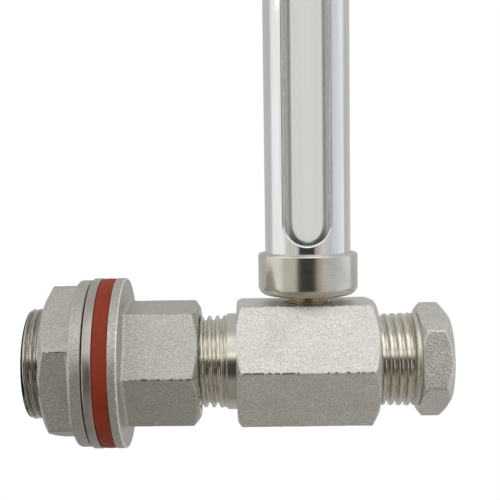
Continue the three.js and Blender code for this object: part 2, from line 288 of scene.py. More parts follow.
def cast_ripple(along, angle, radius, from_corner):
    """Slow waves of a casting's faces and small chips along its corners, in mm, and how worn each spot is."""
    wave_rate, chip_rate = 0.22, 1.9
    wave_height, chip_depth = 0.05, 0.12
    chipped_width, worn_width = 0.045, 0.014
    wave, chip = np.empty_like(angle), np.empty_like(angle)
    for i, a in enumerate(angle):
        spot = Vector((along, radius * math.cos(a), radius * math.sin(a)))
        wave[i] = noise.noise(spot * wave_rate)
        chip[i] = noise.noise(spot * chip_rate + Vector((7, 3, 1)))
    at_corner = np.exp(-((from_corner / chipped_width) ** 2))
    at_edge = np.exp(-((from_corner / worn_width) ** 2))
    ripple = wave_height * wave - chip_depth * at_corner * np.clip(chip - 0.05, 0, 1)
    return ripple, at_edge * np.clip(0.95 + chip, 0, 0.95)


def cut(piece, cutter):
    """Takes the cutter's volume out of a piece and removes the cutter."""
    modifier = piece.modifiers.new("cut", "BOOLEAN")
    modifier.operation, modifier.solver, modifier.object = "DIFFERENCE", "EXACT", cutter
    graph = bpy.context.evaluated_depsgraph_get()
    carved = bpy.data.meshes.new_from_object(piece.evaluated_get(graph))
    piece.modifiers.remove(modifier)
    piece.data = carved
    carved.set_sharp_from_angle(angle=SHARP_ANGLE)
    bpy.data.objects.remove(cutter)
    return piece


# ---------- tank side ----------

def bulkhead_body():
    """The fitting through the tank wall: threaded stub, flange, hexagon and pipe socket."""
    skin = Skin(324, BULKHEAD_TURN)
    root = STUB_RADIUS - DEPTH_STUB
    bore = root - STUB_WALL
    shoulder = NIPPLE_END - 1.5
    fillet, rim = 0.8, 0.3
    skin.path((shoulder, bore), (STUB_END, bore), (STUB_END, root + 0.5), rounding=0.3)
    skin.thread(STUB_END, -1.2, lambda x: STUB_RADIUS, PITCH_STUB, DEPTH_STUB, land=0.35, run_out=2.0)
    skin.path((-1.0, root + 0.3), (0.2, root), (FLANGE_FACE, root), (FLANGE_FACE, FLANGE_RADIUS),
              rounding=0.25)
    skin.line((FLANGE_FACE + 0.2, FLANGE_RADIUS), (FLANGE_END - rim, FLANGE_RADIUS), 8, 1.0)
    # the rim's rounded edge takes cast -1: a painted highlight, near-white colour standing in for the light
    # line along the rim
    skin.arc((FLANGE_END - rim, FLANGE_RADIUS - rim), rim, 90, 0, 6, -1.0)
    foot = BULKHEAD_FLAT + 2.4
    skin.line((FLANGE_END, FLANGE_RADIUS - rim - 0.2), (FLANGE_END, foot), 12, 1.0)
    hexagon, _ = hex_section(skin.angle, BULKHEAD_FLAT, BULKHEAD_TURN)
    for a in np.radians(np.linspace(0, 90, 9)):
        skin.ring(FLANGE_END + fillet * (1 - math.cos(a)), hexagon + fillet * (1 - math.sin(a)), 1.0)
    skin.hex_bar(FLANGE_END + fillet + 0.1, BULKHEAD_END, BULKHEAD_FLAT, BULKHEAD_TURN, -4, 0.4)
    skin.path((BULKHEAD_END, BULKHEAD_FLAT - 0.6), (BULKHEAD_END, PIPE_SOCKET + 0.2),
              (BULKHEAD_END - 0.2, PIPE_SOCKET), (shoulder, PIPE_SOCKET), (shoulder, bore + 0.1))
    return skin.mesh("bulkhead_body_skin")


def tank_gasket():
    """A flat silicone ring whose edge bulges a little where it is squeezed."""
    skin = Skin(256)
    left, right = -FACE_GAP + CLOSE_GAP, FLANGE_FACE - CLOSE_GAP
    outer, inner = high("tank_gasket").y, STUB_RADIUS + LOOSE_GAP
    middle = (left + right) / 2
    skin.path((middle, inner), (left, inner), (left, outer - 0.25), rounding=0.2)
    skin.path((left + 0.25, outer - 0.02), (middle, outer + 0.06), (right - 0.25, outer - 0.02), rounding=1.2)
    skin.path((right, outer - 0.25), (right, inner), (middle + 0.1, inner), rounding=0.2)
    return skin.mesh("tank_gasket_skin")


def backing_washer():
    """A flat turned ring between the tank wall and the nut."""
    skin = Skin(256)
    left, right = low("backing_washer").x, high("backing_washer").x
    inner, outer = STUB_RADIUS + LOOSE_GAP, FLANGE_RADIUS
    skin.path((right - 0.5, inner), (left, inner), (left, outer - 0.25), (left + 0.2, outer),
              (right, outer), (right, inner), (right - 0.4, inner), rounding=0.15)
    return skin.mesh("backing_washer_skin")


def lock_nut():
    """A hexagonal nut with a round flange, which the hexagon runs into through a small fillet."""
    skin = Skin(324, NUT_TURN)
    bore = STUB_RADIUS + 0.12
    rim, run_in = 0.8, 0.5
    skin.path((NUT_FACE, bore + 0.6), (NUT_FACE - 0.6, bore), (NUT_END + 0.8, bore), (NUT_END, bore + 0.8),
              (NUT_END, NUT_FLAT - 1.0), rounding=0.15)
    skin.hex_bar(NUT_END, NUT_HEX_START - run_in, NUT_FLAT, NUT_TURN, 0.4, -4)
    hexagon, _ = hex_section(skin.angle, NUT_FLAT, NUT_TURN)
    for t in np.linspace(0.2, 1, 6):
        reach = np.minimum(hexagon + 0.6 * t * t, NUT_RIM - rim)
        skin.ring(NUT_HEX_START - run_in * (1 - t), np.maximum(hexagon, reach), 1.0)
    for a in np.radians(np.linspace(180, 90, 11)):
        rounded = NUT_RIM - rim + rim * math.sin(a)
        skin.ring(NUT_HEX_START + rim + rim * math.cos(a), np.maximum(hexagon, rounded), 1.0)
    skin.path((NUT_HEX_START + 1.0, NUT_RIM), (NUT_FACE - 0.2, NUT_RIM), (NUT_FACE, NUT_RIM - 0.2),
              (NUT_FACE, bore + 0.7), rounding=0.15, cast=0.9)
    return skin.mesh("lock_nut_skin")


# ---------- tee and plug ----------

def tee_body():
    """The hexagonal tee: male thread, collar, hexagon, socket, and a round port on top."""
    skin = Skin(384)
    crest = lambda x: PIPE_RADIUS - (COLLAR_START - x) * PIPE_TAPER
    skin.path((TEE_START, NIPPLE_BORE), (NIPPLE_END + 0.5, NIPPLE_BORE), (NIPPLE_END, NIPPLE_BORE + 0.5),
              (NIPPLE_END, crest(NIPPLE_END) - DEPTH_PIPE - 0.05))
    skin.thread(NIPPLE_END, COLLAR_START - 0.3, crest, PITCH_PIPE, DEPTH_PIPE, run_out=1.0)
    skin.path((COLLAR_START - 0.1, PIPE_RADIUS - 0.2), (COLLAR_START + 0.35, COLLAR_RADIUS),
              (TEE_START, COLLAR_RADIUS), (TEE_START, COLLAR_RADIUS + 1.2), rounding=0.12)
    skin.line((TEE_START, COLLAR_RADIUS + 1.3), (TEE_START, TEE_FLAT - 0.3), 3, 0.7)
    skin.hex_bar(TEE_START, TEE_END, TEE_FLAT, 0, -0.3, 0.7)
    socket_end = PLUG_INNER - SOCKET_RUN_OUT
    skin.path((TEE_END, TEE_FLAT - 0.9), (TEE_END, PIPE_SOCKET + 0.2), (TEE_END - 0.2, PIPE_SOCKET),
              (socket_end, PIPE_SOCKET), (socket_end, CHAMBER_RADIUS), (TEE_START + 1, CHAMBER_RADIUS),
              (TEE_START + 0.1, NIPPLE_BORE + 0.05))
    body = skin.mesh("tee_body_skin")
    port = Skin(128)
    wide, above = STEM_RADIUS + LOOSE_GAP, TEE_FLAT + 1
    port.path((0, 0), (0, wide), (above, wide), (above, 0), rounding=0.02, cast=1.0)
    return cut(body, port.mesh("port_cutter", upright=True))


def end_plug():
    """The plug in the tee's far end, hollow inside, with a hexagonal head."""
    skin = Skin(324, PLUG_TURN)
    crest = lambda x: PIPE_RADIUS - (PLUG_THREAD_END - x) * PIPE_TAPER
    root = PIPE_RADIUS - DEPTH_PIPE
    hollow, floor = root - PLUG_WALL, PLUG_THREAD_END - 1
    skin.path((floor, 0), (floor, hollow), (PLUG_INNER + 0.4, hollow),
              (PLUG_INNER, hollow + 0.4), (PLUG_INNER, crest(PLUG_INNER) - DEPTH_PIPE - 0.05))
    skin.thread(PLUG_INNER, PLUG_THREAD_END, crest, PITCH_PIPE, DEPTH_PIPE, flank=0.56)
    skin.path((PLUG_THREAD_END + 0.05, root), (PLUG_THREAD_END + 0.6, PIPE_RADIUS - 0.05),
              (PLUG_HEAD - 0.25, PIPE_RADIUS), (PLUG_HEAD, PIPE_RADIUS - 0.2), rounding=0.2, cast=0.8)
    skin.hex_bar(PLUG_HEAD, PLUG_END, PLUG_FLAT, PLUG_TURN, -0.4, 1.2, chamfer=36)
    skin.line((PLUG_END, PLUG_FLAT - 1.4), (PLUG_END, 0), 24, 1.0)
    return skin.mesh("end_plug_skin")


def wound_tape(name, left, right, inner, pitch, upright=False):
    """Thread-sealing tape: overlapping turns that sink a little into the thread below."""
    skin = Skin(160)
    rows, single = 8, 0.55
    skin.line((right, inner), (left, inner), 4)
    for along in np.linspace(left, right, int((right - left) / pitch * rows)):
        wrap = np.mod(along / pitch + skin.angle / (2 * math.pi), 1)
        skin.ring(along, inner + TAPE_THICKNESS * (single + (1 - single) * np.abs(2 * wrap - 1)))
    return skin.mesh(name, upright)


# ---------- cup, stem and seals ----------

def stem_nipple():
    """The short threaded pipe between the tee and the cup."""
    skin = Skin(160)
    bottom, top = low("stem_nipple").z, high("stem_nipple").z
    root = STEM_RADIUS - DEPTH_STEM
    skin.path((top, STEM_BORE), (bottom, STEM_BORE), (bottom, root - 0.05))
    skin.thread(bottom, CUP_BOTTOM + 0.1, lambda z: STEM_RADIUS, PITCH_STEM, DEPTH_STEM)
    skin.path((CUP_BOTTOM + 0.2, root), (top, root), (top, STEM_BORE + 0.2))
    return skin.mesh("stem_nipple_skin", upright=True)


def tube_cup():
    """The cup that holds the foot of the clear tube, its seals and the shield."""
    skin = Skin(256)
    hole = STEM_RADIUS - DEPTH_STEM + FACE_GAP
    skin.path((CUP_FLOOR, SEAL_BORE - 0.1), (CUP_FLOOR, hole), (CUP_BOTTOM, hole),
              (CUP_BOTTOM, CUP_RADIUS - CUP_CORNER - 0.1), rounding=0.1)
    skin.arc((CUP_BOTTOM + CUP_CORNER, CUP_RADIUS - CUP_CORNER), CUP_CORNER, 180, 90, 20)
    skin.line((CUP_BOTTOM + CUP_CORNER + 0.2, CUP_RADIUS), (CUP_RIM - CUP_EDGE - 0.1, CUP_RADIUS), 8)
    skin.arc((CUP_RIM - CUP_EDGE, CUP_RADIUS - CUP_EDGE), CUP_EDGE, 90, 0, 10)
    skin.path((CUP_RIM, CUP_RADIUS - CUP_EDGE - 0.1), (CUP_RIM, SOCKET_RADIUS), (GLAND_STEP, SOCKET_RADIUS),
              (GLAND_STEP, SEAL_BORE), (CUP_FLOOR + 0.1, SEAL_BORE), rounding=0.2)
    return skin.mesh("tube_cup_skin", upright=True)


def top_cap():
    """The cap over the tube and the shield, with a vent hole in the middle."""
    skin = Skin(256)
    step = SHIELD_HIGH + FACE_GAP
    skin.path((CAP_CEILING, VENT_RADIUS), (CAP_CEILING, SEAL_BORE), (step, SEAL_BORE), (step, SOCKET_RADIUS),
              (CAP_RIM, SOCKET_RADIUS), (CAP_RIM, CUP_RADIUS - CUP_EDGE - 0.1), rounding=0.2)
    skin.arc((CAP_RIM + CUP_EDGE, CUP_RADIUS - CUP_EDGE), CUP_EDGE, 180, 90, 10)
    skin.line((CAP_RIM + CUP_EDGE + 0.1, CUP_RADIUS), (CAP_TOP - CUP_CORNER - 0.2, CUP_RADIUS), 8)
    skin.arc((CAP_TOP - CUP_CORNER, CUP_RADIUS - CUP_CORNER), CUP_CORNER, 90, 0, 20)
    skin.path((CAP_TOP, CUP_RADIUS - CUP_CORNER - 0.1), (CAP_TOP, VENT_RADIUS + 0.4),
              (CAP_TOP - 0.4, VENT_RADIUS), (CAP_CEILING + 0.1, VENT_RADIUS), rounding=0.1)
    return skin.mesh("top_cap_skin", upright=True)


def seal_ring(node):
    """An O-ring squeezed a little against the clear tube and its bore."""
    skin = Skin(160)
    middle = (low(node).z + high(node).z) / 2
    centre = (high(node).y + TUBE_RADIUS) / 2
    skin.arc((middle, centre), RING_SECTION / 2, 0, 352, 22)
    return skin.mesh(node + "_skin", upright=True)


def soft_ring(node, inner, rounding):
    """A flat ring with rounded edges, as large as its CAD node."""
    skin = Skin(160)
    bottom, top, outer = low(node).z, high(node).z, high(node).y
    middle = (bottom + top) / 2
    skin.path((middle, inner), (bottom, inner), (bottom, outer), (top, outer), (top, inner),
              (middle + 0.01, inner), rounding=rounding)
    return skin.mesh(node + "_skin", upright=True)


# ---------- clear tube and shield ----------

def sight_tube():
    """The clear tube, open at both ends, with its cut edges just broken."""
    skin = Skin(192)
    inner, outer = TUBE_RADIUS - TUBE_WALL, TUBE_RADIUS
    edge = 0.4
    rows = np.linspace(TUBE_LOW + 0.5, TUBE_HIGH - 0.5, 30)
    for z in rows[::-1]:
        skin.ring(z, inner)
    skin.path((TUBE_LOW + edge, inner), (TUBE_LOW, inner), (TUBE_LOW, outer), (TUBE_LOW + edge, outer))
    for z in rows:
        skin.ring(z, outer)
    skin.path((TUBE_HIGH - edge, outer), (TUBE_HIGH, outer), (TUBE_HIGH, inner), (TUBE_HIGH - edge, inner))
    return skin.mesh("sight_tube_skin", upright=True)


def mirrored(left, top):
    """A closed loop from its left half, its top point and the left half's mirror image."""
    middle = np.array([[0, top]])
    right = left[::-1] * [-1, 1]
    return np.concatenate([left, middle, right[:-1]])


def slot_outline(half, lower, upper, arc_steps, side_steps):
    """A round-ended slot's outline as (across, height) pairs, clockwise from its lowest point."""
    low_arc = np.radians(np.linspace(270, 180, arc_steps, endpoint=False))
    side = np.linspace(lower, upper, side_steps, endpoint=False)
    high_arc = np.radians(np.linspace(180, 90, arc_steps, endpoint=False))
    quarter = [(half * math.cos(a), lower + half * math.sin(a)) for a in low_arc]
    rise = [(-half, z) for z in side]
    top = [(half * math.cos(a), upper + half * math.sin(a)) for a in high_arc]
    return mirrored(np.array(quarter + rise + top), upper + half)


def slot_border(lower, upper, arc_steps, side_steps):
    """Where each outline point's line ends: the edge of the half shell round the slot, as (angle, height)."""
    quarter = math.pi / 2
    first = arc_steps // 2
    rest = arc_steps - first
    foot = [(-quarter * t, SHIELD_LOW) for t in np.linspace(0, 1, first, endpoint=False)]
    leg = [(-quarter, z) for z in np.linspace(SHIELD_LOW, lower, rest, endpoint=False)]
    side = [(-quarter, z) for z in np.linspace(lower, upper, side_steps, endpoint=False)]
    arm = [(-quarter, z) for z in np.linspace(upper, SHIELD_HIGH, first, endpoint=False)]
    head = [(-quarter * (1 - t), SHIELD_HIGH) for t in np.linspace(0, 1, rest, endpoint=False)]
    return mirrored(np.array(foot + leg + side + arm + head), SHIELD_HIGH)


def slot_layers(border, arc_steps, side_steps, lower, upper):
    """Half the shield as loops of (angle, height, radius): outside, round the slot's edge, and inside."""
    half, edge, spread = SLOT_WIDTH / 2, 0.45, 26
    inner_radius = SHIELD_RADIUS - SHIELD_WALL

    def edge_loop(offset, radius):
        outline = slot_outline(half + offset, lower, upper, arc_steps, side_steps)
        angle = np.arcsin(outline[:, 0] / radius)
        return angle, outline[:, 1], np.full(len(outline), radius)

    def shell_loops(offset, radius, shares):
        angle, height, radii = edge_loop(offset, radius)
        for t in shares:
            yield angle * (1 - t) + border[:, 0] * t, height * (1 - t) + border[:, 1] * t, radii

    layers = list(shell_loops(edge, SHIELD_RADIUS, np.linspace(1, 0, spread + 1)))
    for a in np.radians(np.linspace(15, 90, 6)):
        layers.append(edge_loop(edge * (1 - math.sin(a)), SHIELD_RADIUS - edge * (1 - math.cos(a))))
    for depth in np.linspace(edge + 0.15, SHIELD_WALL - 0.25, 4):
        layers.append(edge_loop(0, SHIELD_RADIUS - depth))
    layers.append(edge_loop(0.06, inner_radius + 0.06))
    layers.extend(shell_loops(0.2, inner_radius, np.linspace(0, 1, spread + 1)))
    return layers


def shield_tube():
    """The shield: a tube with a slot in front and one behind, whose edges are broken and polished."""
    arc_steps, side_steps = 28, 90
    lower = CUP_RIM + SLOT_MARGIN + SLOT_WIDTH / 2
    upper = CAP_RIM - SLOT_MARGIN - SLOT_WIDTH / 2
    border = slot_border(lower, upper, arc_steps, side_steps)
    layers = slot_layers(border, arc_steps, side_steps, lower, upper)
    points, faces = [], []
    count = len(border)
    for side in (0, math.pi):
        base = len(points) * count
        for angle, height, radius in layers:
            turn = angle + side + math.radians(SLOT_TURN)
            points.append(np.stack([TUBE_X + radius * np.sin(turn), -radius * np.cos(turn), height], 1))
        for j in range(len(layers) - 1):
            a, b = base + j * count, base + (j + 1) * count
            for i in range(count):
                n = (i + 1) % count
                faces.append((a + i, a + n, b + n, b + i))
        last = base + (len(layers) - 1) * count
        for i in range(count):
            n = (i + 1) % count
            if border[i, 1] == border[n, 1] and border[i, 1] in (SHIELD_LOW, SHIELD_HIGH):
                faces.append((base + i, last + i, last + n, base + n))
    inside = [float(np.min(radius) < SHIELD_RADIUS - 0.5) for _, _, radius in layers]
    cast = np.tile(np.repeat(inside, count), 2)
    return write_mesh("shield_tube_skin", np.concatenate(points), faces, {"cast": cast})


# ---------- materials ----------

def node_tree(name):
    """A new material, its node tree and its main shader."""
    material = bpy.data.materials.new(name)
    material.use_nodes = True
    tree = material.node_tree
    tree.nodes.clear()
    shader = tree.nodes.new("ShaderNodeBsdfPrincipled")
    output = tree.nodes.new("ShaderNodeOutputMaterial")
    tree.links.new(shader.outputs[0], output.inputs["Surface"])
    return material, tree, shader


def add(tree, kind, inputs=None, **settings):
    """Adds a node, sets its properties, and sets or links its inputs."""
    made = tree.nodes.new("ShaderNode" + kind)
    for key, value in settings.items():
        setattr(made, key, value)
    for key, value in (inputs or {}).items():
        if isinstance(value, bpy.types.NodeSocket):
            tree.links.new(value, made.inputs[key])
        else:
            made.inputs[key].default_value = value
    return made


def noise_at(tree, scale, detail, roughness, stretch=(1, 1, 1)):
    """Fractal noise over the object's own coordinates; scale is in cycles per metre."""
    place = add(tree, "TexCoord").outputs["Object"]
    mapped = add(tree, "Mapping", {"Vector": place, "Scale": stretch}).outputs[0]
    inputs = {"Vector": mapped, "Scale": scale, "Detail": detail, "Roughness": roughness}
    return add(tree, "TexNoise", inputs).outputs["Fac"]


def remap(tree, value, low_in, high_in, low_out, high_out):
    """Moves a value from one range to another, clamped."""
    inputs = {"Value": value, "From Min": low_in, "From Max": high_in, "To Min": low_out, "To Max": high_out}
    return add(tree, "MapRange", inputs).outputs[0]


def mix_value(tree, share, a, b):
    """A number between a and b by share; each may be a value or a link."""
    return add(tree, "Mix", {0: share, 2: a, 3: b}, data_type="FLOAT").outputs[0]


def mix_colour(tree, share, a, b):
    """A colour between a and b by share; each may be a value or a link."""
    return add(tree, "Mix", {0: share, 6: a, 7: b}, data_type="RGBA").outputs[2]


def bump(tree, height, distance, strength=1.0, normal=None):
    """A bumped normal, on top of another one if given; distance is in metres."""
    inputs = {"Height": height, "Distance": distance, "Strength": strength}
    if normal is not None:
        inputs["Normal"] = normal
    return add(tree, "Bump", inputs).outputs[0]


def connect(tree, shader, **links):
    """Links node outputs to the shader's inputs, named with _ for a space."""
    for key, value in links.items():
        tree.links.new(value, shader.inputs[key.replace("_", " ")])


def cast_steel(name, dark, light, turned=1.0, smooth=0.4):
    """Stainless steel, grainy where cast and smooth where turned, by the mesh's cast value.

    Where that value falls below 0 a highlight is painted on: the colour goes towards near white. dark and
    light are the tones of the cast grain, turned scales the tone of turned parts, and smooth is the least
    roughness of cast parts.
    """
    turned_dark = (0.69 * turned, 0.66 * turned, 0.59 * turned, 1)
    turned_light = (0.85 * turned, 0.825 * turned, 0.75 * turned, 1)
    # bright is the near-white colour of the painted highlight, used where the cast value is below 0
    stain, bright = (0.58, 0.54, 0.46, 1), (0.97, 0.96, 0.92, 1)
    material, tree, shader = node_tree(name)
    cast = add(tree, "Attribute", attribute_name="cast").outputs["Fac"]
    grain = noise_at(tree, 2900, 2, 0.5)
    fine = noise_at(tree, 8000, 2, 0.6)
    blotch = noise_at(tree, 170, 4, 0.6)
    turning = noise_at(tree, 700, 3, 0.5, stretch=(7, 0.12, 0.12))
    lit = remap(tree, grain, 0.35, 0.65, 0.0, 1.0)
    cast_tone = mix_colour(tree, lit, dark + (1,), light + (1,))
    stained = mix_colour(tree, remap(tree, blotch, 0.45, 0.75, 0, 0.35), cast_tone, stain)
    turned_tone = mix_colour(tree, blotch, turned_dark, turned_light)
    # cast values below 0 mix in the bright colour: a painted highlight along the flange rim
    wear_and_painted_highlight = remap(tree, cast, -1, 0, 1, 0)
    colour = mix_colour(tree, wear_and_painted_highlight, mix_colour(tree, cast, turned_tone, stained), bright)
    turned_rough = remap(tree, turning, 0.3, 0.7, 0.16, 0.24)
    rough = mix_value(tree, cast, turned_rough, remap(tree, fine, 0.3, 0.7, smooth, smooth + 0.14))
    metal = remap(tree, cast, 0, 1, 1.0, 0.86)
    grain_height = add(tree, "Math", {0: grain, 1: cast}, operation="MULTIPLY").outputs[0]
    fine_height = mix_value(tree, cast, turning, fine)
    first = bump(tree, grain_height, 0.0001, 0.85)
    second = bump(tree, fine_height, 0.000012, 0.5, first)
    connect(tree, shader, Base_Color=colour, Metallic=metal, Roughness=rough, Normal=second)
    return material


def turned_steel(name, tone, rough, stretch, strength=0.4):
    """Turned and polished steel with fine lines round the axis it was turned on."""
    material, tree, shader = node_tree(name)
    shader.inputs["Metallic"].default_value = 1.0
    lines = noise_at(tree, 1500, 4, 0.65, stretch=stretch)
    blotch = noise_at(tree, 180, 3, 0.6)
    dark = tuple(0.86 * c for c in tone) + (1,)
    light = tuple(min(1, 1.08 * c) for c in tone) + (1,)
    shade = add(tree, "Math", {0: lines, 1: blotch}, operation="ADD").outputs[0]
    colour = mix_colour(tree, remap(tree, shade, 0.7, 1.3, 0, 1), dark, light)
    roughness = remap(tree, lines, 0.3, 0.7, rough * 0.8, rough * 1.3)
    normal = bump(tree, lines, 0.00003, strength)
    connect(tree, shader, Base_Color=colour, Roughness=roughness, Normal=normal)
    return material


def polished_aluminium():
    """Aluminium polished outside along its length and duller inside, by the mesh's cast value."""
    outside_dark, outside_light = (0.80, 0.81, 0.79, 1), (0.90, 0.91, 0.90, 1)
    inside_dark, inside_light = (0.93, 0.94, 0.92, 1), (0.97, 0.98, 0.96, 1)
    material, tree, shader = node_tree("polished_aluminium")
    shader.inputs["Metallic"].default_value = 1.0
    inside = add(tree, "Attribute", attribute_name="cast").outputs["Fac"]
    lines = noise_at(tree, 1600, 3, 0.6, stretch=(1, 1, 0.02))
    blotch = noise_at(tree, 120, 3, 0.6)
    bright = mix_colour(tree, remap(tree, lines, 0.35, 0.65, 0, 1), outside_dark, outside_light)
    dull = mix_colour(tree, lines, inside_dark, inside_light)
    polished = remap(tree, blotch, 0.3, 0.7, 0.06, 0.14)
    rough = mix_value(tree, inside, polished, remap(tree, blotch, 0.3, 0.7, 0.28, 0.36))
    connect(tree, shader, Base_Color=mix_colour(tree, inside, bright, dull), Roughness=rough,
            Normal=bump(tree, lines, 0.000012, 0.4))
    return material


def brass():
    """Dull yellow brass with lines round its thread."""
    material, tree, shader = node_tree("brass")
    shader.inputs["Metallic"].default_value = 1.0
    lines = noise_at(tree, 1800, 3, 0.6, stretch=(0.3, 0.3, 6))
    colour = mix_colour(tree, lines, (0.50, 0.42, 0.28, 1), (0.76, 0.66, 0.47, 1))
    connect(tree, shader, Base_Color=colour, Roughness=remap(tree, lines, 0.3, 0.7, 0.16, 0.28),
            Normal=bump(tree, lines, 0.00003, 0.4))
    return material


def soft_material(name, dark, light, rough, scale=1400, **sockets):
    """Rubber, silicone or PTFE: a mottled matt surface with a fine grain."""
    material, tree, shader = node_tree(name)
    for key, value in sockets.items():
        shader.inputs[key.replace("_", " ")].default_value = value
    mottle = noise_at(tree, 220, 4, 0.6)
    fine = noise_at(tree, scale, 3, 0.6)
    colour = mix_colour(tree, remap(tree, mottle, 0.3, 0.7, 0, 1), dark + (1,), light + (1,))
    roughness = remap(tree, fine, 0.3, 0.7, rough * 0.85, rough * 1.15)
    connect(tree, shader, Base_Color=colour, Roughness=roughness, Normal=bump(tree, fine, 0.00003, 0.5))
    return material


def clear_plastic():
    """Clear extruded tube with faint lines along it."""
    dark, light = (0.945, 0.955, 0.93, 1), (0.975, 0.98, 0.96, 1)
    material, tree, shader = node_tree("clear_plastic")
    shader.inputs["Transmission Weight"].default_value = 0.985
    shader.inputs["IOR"].default_value = 1.49
    lines = noise_at(tree, 900, 3, 0.6, stretch=(1, 1, 0.01))
    colour = mix_colour(tree, remap(tree, lines, 0.3, 0.7, 0, 1), dark, light)
    connect(tree, shader, Base_Color=colour, Roughness=remap(tree, lines, 0.3, 0.7, 0.01, 0.04),
            Normal=bump(tree, lines, 0.000008, 0.1))
    return material


CAST = cast_steel("cast_steel", (0.66, 0.645, 0.595), (0.95, 0.935, 0.89))
# a copy of the cast steel at about 0.76 of its cast and turned tones: painted shade that draws the bulkhead
# body and the lock nut darker than the tee
SHADED_CAST = cast_steel("shaded_cast_steel", (0.50, 0.485, 0.44), (0.72, 0.705, 0.66), turned=0.72)
PLUG_CAST = cast_steel("plug_cast_steel", (0.62, 0.60, 0.55), (0.92, 0.90, 0.85), smooth=0.3)
WASHER = turned_steel("machined_steel", (0.58, 0.55, 0.50), 0.32, (7, 0.15, 0.15), 0.2)
SATIN = turned_steel("satin_steel", (0.72, 0.70, 0.63), 0.19, (0.15, 0.15, 7), 0.15)
ALUMINIUM = polished_aluminium()
BRASS = brass()
RED = soft_material("red_silicone", (0.30, 0.034, 0.010), (0.37, 0.05, 0.017), 0.55,
                    Specular_IOR_Level=0.3)
BLACK = soft_material("black_rubber", (0.012, 0.012, 0.012), (0.025, 0.025, 0.024), 0.5)
SOFT = soft_material("clear_silicone", (0.62, 0.61, 0.56), (0.72, 0.71, 0.66), 0.4)
PTFE = soft_material("ptfe", (0.74, 0.74, 0.72), (0.84, 0.84, 0.82), 0.5, scale=2600)
CLEAR = clear_plastic()


# ---------- the pieces on their bodies ----------

def fit(piece, node, material):
    """Gives a piece its material, lets it stand for its CAD node and ride on that node's body."""
    piece.data.materials.clear()
    piece.data.materials.append(material)
    body = next(b for b, nodes in frame["record"]["behaviour"]["bodies"].items() if node in nodes)
    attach(piece, body)
    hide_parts(node)


def pipe_tape(node, thread_end):
    """The tape over a tapered pipe thread that reaches its full size at thread_end."""
    inner = PIPE_RADIUS - (thread_end - high(node).x) * PIPE_TAPER + TAPE_GAP
    return wound_tape(node + "_skin", low(node).x, high(node).x, inner, PIPE_TAPE_TURN)


def stem_tape():
    """The tape over the stem's thread, where it screws into the tee."""
    bottom, top = low("stem_tape").z, high("stem_tape").z - STEM_TAPE_TRIM
    return wound_tape("stem_tape_skin", bottom, top, STEM_RADIUS + TAPE_GAP, STEM_TAPE_TURN, True)


fit(bulkhead_body(), "bulkhead_body", SHADED_CAST)
fit(tank_gasket(), "tank_gasket", RED)
fit(backing_washer(), "backing_washer", WASHER)
fit(lock_nut(), "lock_nut", SHADED_CAST)
fit(tee_body(), "tee_body", CAST)
fit(end_plug(), "end_plug", PLUG_CAST)
fit(pipe_tape("tee_tape", COLLAR_START), "tee_tape", PTFE)
fit(pipe_tape("plug_tape", PLUG_THREAD_END), "plug_tape", PTFE)
fit(stem_tape(), "stem_tape", PTFE)
fit(stem_nipple(), "stem_nipple", BRASS)
fit(tube_cup(), "tube_cup", SATIN)
fit(soft_ring("tube_seat", STEM_BORE, 0.2), "tube_seat", SOFT)
for ring in ("lower_o_ring", "middle_o_ring", "upper_o_ring"):
    fit(seal_ring(ring), ring, BLACK)
fit(soft_ring("gland_ring", TUBE_RADIUS + 0.15, 0.12), "gland_ring", PTFE)
fit(soft_ring("cap_pad", TUBE_RADIUS / 2, 0.2), "cap_pad", SOFT)
fit(sight_tube(), "sight_tube", CLEAR)
fit(shield_tube(), "shield_tube", ALUMINIUM)
fit(top_cap(), "top_cap", SATIN)


# ---------- studio ----------

# sizes and places of the studio are in metres

FLOOR_Z = -0.06
FLOOR_SIDE = 2.5
DOME_RADIUS = 4.0
BEHIND_GLASS = 0.74  # how bright the surroundings look through the clear tube
LIT_SPOT = (0.04, 0.0, 0.01)
KEY_SPOT, KEY_SIZE, KEY_POWER = (0.16, -0.42, 0.58), 0.42, 0.3
FILL_SPOT, FILL_SIZE, FILL_POWER = (-0.4, -0.15, 0.35), 0.4, 0.25
CAMERA_YAW, CAMERA_PITCH, CAMERA_ROLL = -0.0068, 0.0888, -0.014
CAMERA_LENS, CAMERA_SHIFT = 68.36, 0.04
CAMERA_SPOT = Vector((TUBE_X - 11.65, -214.3, 39.9)) * MM


def emission(name, colour, strength):
    """A material that only glows."""
    material = bpy.data.materials.new(name)
    material.use_nodes = True
    tree = material.node_tree
    tree.nodes.clear()
    glow = add(tree, "Emission", {"Color": colour, "Strength": strength})
    tree.links.new(glow.outputs[0], add(tree, "OutputMaterial").inputs["Surface"])
    return material


def seen_only(thing, camera=True, transmission=True):
    """Keeps a stage piece out of reflections and indirect light; the rest says what still sees it."""
    thing.visible_camera, thing.visible_transmission = camera, transmission
    thing.visible_glossy = thing.visible_diffuse = thing.visible_volume_scatter = False


def dome(name, radius, strength, **seen):
    """A sphere round the whole scene that glows evenly and casts no shadow."""
    shape = bmesh.new()
    bmesh.ops.create_uvsphere(shape, u_segments=48, v_segments=24, radius=radius)
    mesh = bpy.data.meshes.new(name)
    shape.to_mesh(mesh)
    shape.free()
    made = bpy.data.objects.new(name, mesh)
    bpy.context.scene.collection.objects.link(made)
    mesh.materials.append(emission(name + "_glow", (1, 1, 1, 1), strength))
    seen_only(made, **seen)
    made.visible_shadow = False


def pale_floor():
    """A white sheet below the object."""
    side = FLOOR_SIDE
    corners = np.array([(-side, -side), (side, -side), (side, side), (-side, side)]) / MM
    points = np.column_stack([corners, np.full(4, FLOOR_Z / MM)])
    floor = write_mesh("floor", points, [(0, 1, 2, 3)])
    floor.data.materials.append(emission("floor_white", (1, 1, 1, 1), 1.0))
    seen_only(floor, transmission=False)


